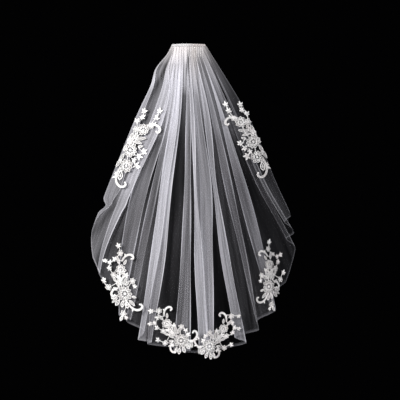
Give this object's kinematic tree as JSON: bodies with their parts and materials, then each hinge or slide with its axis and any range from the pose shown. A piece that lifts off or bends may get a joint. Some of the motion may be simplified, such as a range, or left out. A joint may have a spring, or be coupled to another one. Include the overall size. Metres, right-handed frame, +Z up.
{
  "type": "lace bridal veil",
  "caption": "Fingertip bridal veil of sheer pleated tulle gathered onto a short stitched header with a hair comb, with an oval hem and lace sprays along its edge.",
  "frame": {"origin": "top middle of the gathered header, where the hair comb pins the veil on", "axes": "+Z up, +X to the right seen from behind the wearer, and the outer face of the veil looks along -Y"},
  "size_m": [0.5822, 0.1942, 0.9095],
  "materials": {
    "tulle": "sheer net",
    "header_band": "tightly gathered net",
    "lace": "corded lace",
    "comb": "smooth"
  },
  "bodies": {
    "root": {"hair_comb": "comb", "gathered_header": "header_band", "tulle_veil": "tulle", "lace_upper_left": "lace", "lace_upper_right": "lace", "lace_side_left": "lace", "lace_side_right": "lace", "lace_bottom_left": "lace", "lace_bottom_right": "lace"}
  },
  "joints": []
}
